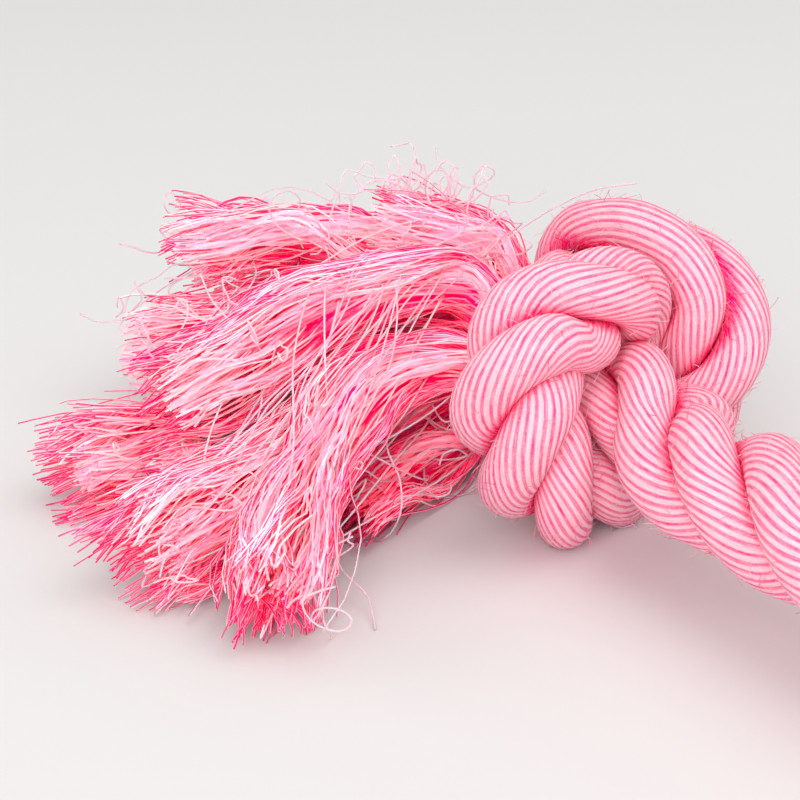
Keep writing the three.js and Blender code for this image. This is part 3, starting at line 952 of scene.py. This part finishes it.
def lock_guide(strand, root_angle, tip, points):
    """A lock's centre line, from inside its strand to its tip, and its radius along the way.

    Its points lie from the rope's end in tassel lengths, and up from the floor in rope diameters.
    """
    centres = rope.strand(strand)[0]
    angle = math.radians(root_angle)
    aside = ROOT_SPREAD * ROPE * (math.cos(angle) * SIDEWAYS + math.sin(angle) * UPWARD)
    first, second = ROOT_GATHER
    stops = [centres[-1 - LEAD] + aside * first, centres[-1 - LEAD // 2] + aside * second]
    stops.append(centres[-1] + aside)
    for x, y, height in points:
        end = rope.centres[-1]
        stops.append((end[0] + x * TASSEL, end[1] + y * TASSEL, height * ROPE))
    beyond = np.subtract(stops[-1], stops[-2]) * TIP_BEYOND
    stops.append(np.add(stops[-1], beyond))
    path = spline(stops, GUIDE_STEPS, even=False)
    length = lengths_along(path)
    share = np.clip((length - length[ROOT_RING]) / (length[-1] - length[ROOT_RING]), 0, 1)
    radius = ROPE * (ROOT_RADIUS + (FULLNESS * tip - ROOT_RADIUS) * share**OPENING_POWER)
    return path, radius


GUIDES = {
    (tuft, number): lock_guide(strand, *lock)
    for tuft, strand, locks in TUFTS
    for number, lock in enumerate(locks, 1)
}


def make_cover(name, tubes):
    """Plain tubes along strands or locks, only for telling what lies under or against them, which decides
    where shade is painted.
    """
    corners, faces = [], []
    for path, radius in tubes:
        tangents = tangents_of(path)
        normals = normals_of(tangents, UP)
        across = np.cross(tangents, normals)
        first = len(corners)
        for ring, (centre, size) in enumerate(zip(path, radius)):
            for corner in range(COVER_SIDES):
                angle = 2 * math.pi * corner / COVER_SIDES
                outward = math.cos(angle) * normals[ring] + math.sin(angle) * across[ring]
                corners.append((centre + size * outward).tolist())
                if ring:
                    here = first + ring * COVER_SIDES
                    before = here - COVER_SIDES
                    after = (corner + 1) % COVER_SIDES
                    faces.append((before + corner, before + after, here + after, here + corner))
    mesh = bpy.data.meshes.new(name)
    mesh.from_pydata(corners, [], faces)
    return link_new(name, mesh)


def strand_tubes(side):
    tubes = [rope.strand(index)[:2] for index in range(STRANDS)]
    return [(centres * TURN[side], radii * STRAND_COVER) for centres, radii in tubes]


def lock_tubes(side):
    """The locks without their tips, which lie open."""
    part = slice(ROOT_RING, -BARE_RINGS)
    return [(path[part] * TURN[side], radius[part] * COVER_SHARE) for path, radius in GUIDES.values()]


def make_lock(side, tuft, strand, number, cover):
    path, radius = GUIDES[tuft, number]
    turn = TURN[side]
    values = {**LOCK_VALUES, "Cover": cover, "Seed": SEEDS[side] + 10 * number + 100 * strand}
    name = f"{side}_{tuft}_tuft_lock_{number}"
    piece = grow(f"{name}_threads", lock_of_threads, [path * turn], {"spread": radius}, values)
    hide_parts(name)
    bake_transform(piece)


def curls_on(path, radius, count, size, chance):
    """Open curls of yarn that leave a lock's outer half and come back to it."""
    tangents = tangents_of(path)
    normals = normals_of(tangents, UP)
    runs = []
    for _ in range(count):
        at = chance.integers(*CURL_RINGS)
        angle, tilt = chance.uniform(0, 2 * math.pi, 2)
        across = np.cross(tangents[at], normals[at])
        outward = math.cos(angle) * normals[at] + math.sin(angle) * across
        outward *= 1 if outward[2] > LOWEST_CURL else -1
        heading = math.cos(tilt) * tangents[at] + math.sin(tilt) * np.cross(outward, tangents[at])
        aside = np.cross(outward, heading)
        turns = chance.uniform(*CURL_TURNS)
        onward, sideways = chance.uniform(*CURL_ONWARD), chance.uniform(*CURL_SIDEWAYS)
        turned = np.linspace(0, 2 * math.pi * turns, round(POINTS_PER_TURN * turns) + 3)[:, None]
        loop = size * chance.uniform(*CURL_SIZES) * chance.uniform(*CURL_UNEVEN, turned.shape)
        rise = CURL_SEAT * radius[at] + loop * (1 - np.cos(turned))
        forward = loop * (np.sin(turned) + onward * turned)
        stops = path[at] + outward * rise + heading * forward + aside * (sideways * loop * turned)
        runs.append(spline(stops, CURL_STEPS, even=False))
    return runs


def bridges_between(first, second, count, chance):
    """Slack yarns from one lock's outside over to another's."""
    runs = []
    for _ in range(count):
        ends = []
        for (path, radius), rings in zip((first, second), BRIDGE_RINGS):
            at = chance.integers(*rings)
            scatter = chance.uniform(-BRIDGE_SCATTER, BRIDGE_SCATTER, 3)
            outward = unit(unit(path[at] - np.array(TASSEL_HEART)) + scatter)
            ends.append((path[at] + outward * radius[at], outward))
        (start, start_out), (end, end_out) = ends
        bulge = unit(start_out + end_out) * chance.uniform(*BRIDGE_BULGE)
        stops = [start - start_out * TUCK, start]
        for share in BRIDGE_STOPS:
            slack = chance.uniform(-BRIDGE_SLACK, BRIDGE_SLACK, 3)
            stops.append(start + (end - start) * share + bulge + slack)
        stops += [end, end - end_out * TUCK]
        runs.append(spline(stops, YARN_STEPS, even=False))
    return runs


def make_loose_yarns(side, carrier, runs, cover):
    runs = [np.maximum(run, (-1, -1, YARN_SIZE / 2)) * TURN[side] for run in runs]
    values = {**YARN_VALUES, "Cover": cover, "Seed": SEEDS[side]}
    piece = grow(f"{side}_{carrier}_loose_yarns", loose_yarns, runs, {}, values)
    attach(piece, f"{side}_{carrier}")


def placed_yarns(carrier):
    runs = LOOSE_YARNS.get(carrier, [])
    return [spline(np.array(points) / 1000, YARN_STEPS, even=False) for points in runs]


for side in ("left", "right"):
    chance = np.random.default_rng(SEEDS[side])
    rope_cover = make_cover(f"{side}_rope_cover", strand_tubes(side))
    for index in range(STRANDS):
        make_strand(side, index, rope_cover)
    tassel_cover = make_cover(f"{side}_tassel_cover", lock_tubes(side))
    make_loose_yarns(side, "knot", placed_yarns("knot"), tassel_cover)
    for tuft, strand, _ in TUFTS:
        loose = placed_yarns(f"{tuft}_tuft")
        for number, (count, size) in enumerate(CURLS[tuft], 1):
            make_lock(side, tuft, strand, number, tassel_cover)
            loose += curls_on(*GUIDES[tuft, number], count, size, chance)
        for from_tuft, from_lock, to_tuft, to_lock, count in BRIDGES:
            if from_tuft == tuft:
                loose += bridges_between(GUIDES[tuft, from_lock], GUIDES[to_tuft, to_lock], count, chance)
        make_loose_yarns(side, f"{tuft}_tuft", loose, tassel_cover)
    bpy.data.meshes.remove(rope_cover.data)
    bpy.data.meshes.remove(tassel_cover.data)


# Floor, light and camera
def make_floor():
    """A pale disc that keeps the shadow and fades into the backdrop far from the toy."""
    mesh = bpy.data.meshes.new("floor")
    angles = np.linspace(0, 2 * math.pi, FLOOR_CORNERS, endpoint=False)
    rim = [(FLOOR_RADIUS * math.cos(angle), FLOOR_RADIUS * math.sin(angle), 0) for angle in angles]
    mesh.from_pydata(rim, [], [tuple(range(FLOOR_CORNERS))])
    material, tree, shader = new_material("pale_floor")
    fill(tree, shader, {"Base Color": FLOOR_COLOUR, "Roughness": 0.9, "Specular IOR Level": 0.1})
    distance = vector_node(tree, "LENGTH", object_place(tree), output="Value")
    fade = ramp(tree, distance, *FLOOR_FADE, interpolation_type="SMOOTHSTEP")
    seen = add(tree, "ShaderNodeLightPath").outputs["Is Camera Ray"]
    backdrop = add(tree, "ShaderNodeEmission", {"Color": BACKDROP, "Strength": 1.0}).outputs[0]
    share = math_node(tree, "MULTIPLY", fade, seen)
    mixed = add(tree, "ShaderNodeMixShader", {0: share, 1: shader.outputs[0], 2: backdrop}).outputs[0]
    tree.links.new(mixed, tree.nodes["Material Output"].inputs["Surface"])
    mesh.materials.append(material)
    link_new("floor", mesh)


def make_light(name, place, target, size, power):
    lamp = bpy.data.lights.new(name, "AREA")
    lamp.shape = "DISK"
    lamp.size = size
    lamp.energy = power
    light = link_new(name, lamp)
    light.location = place
    light.rotation_mode = "QUATERNION"
    light.rotation_quaternion = (Vector(target) - Vector(place)).to_track_quat("-Z", "Y")


def make_world():
    world = bpy.data.worlds.new("studio")
    bpy.context.scene.world = world
    world.use_nodes = True
    tree = world.node_tree
    seen = add(tree, "ShaderNodeLightPath").outputs["Is Camera Ray"]
    strength = ramp(tree, seen, 0.0, 1.0, WORLD_LIGHT, 1.0)
    fill(tree, tree.nodes["Background"], {"Color": BACKDROP, "Strength": strength})


def make_camera():
    """The photograph's view: the knot lies right of the picture's middle, and the shaft runs out of it."""
    azimuth, elevation, distance = math.radians(54.5), math.radians(24), 0.33
    focal_pixels = 2098.8
    half_picture = 400
    knot_pixel = (600, 414)
    back = Vector((
        math.sin(azimuth) * math.cos(elevation),
        -math.cos(azimuth) * math.cos(elevation),
        math.sin(elevation),
    ))
    right = Vector(UP).cross(back).normalized()
    aimed = Matrix((right, back.cross(right), back)).transposed()
    seen = Vector((knot_pixel[0] - half_picture, half_picture - knot_pixel[1], -focal_pixels)).normalized()
    swing = Vector((0, 0, -1)).rotation_difference(seen).to_matrix()
    data = bpy.data.cameras.new("camera")
    data.sensor_width = 36
    data.lens = data.sensor_width * focal_pixels / (2 * half_picture)
    data.clip_start = 0.01
    camera = link_new("camera", data)
    camera.rotation_mode = "QUATERNION"
    camera.rotation_quaternion = (aimed @ swing.transposed()).to_quaternion()
    camera.location = Vector((-KNOT_CENTRE, 0, AXIS_HEIGHT)) + back * distance
    bpy.context.scene.camera = camera


make_floor()
for light in LIGHTS:
    make_light(*light)
make_world()
make_camera()
bpy.context.scene.view_settings.view_transform = "Standard"
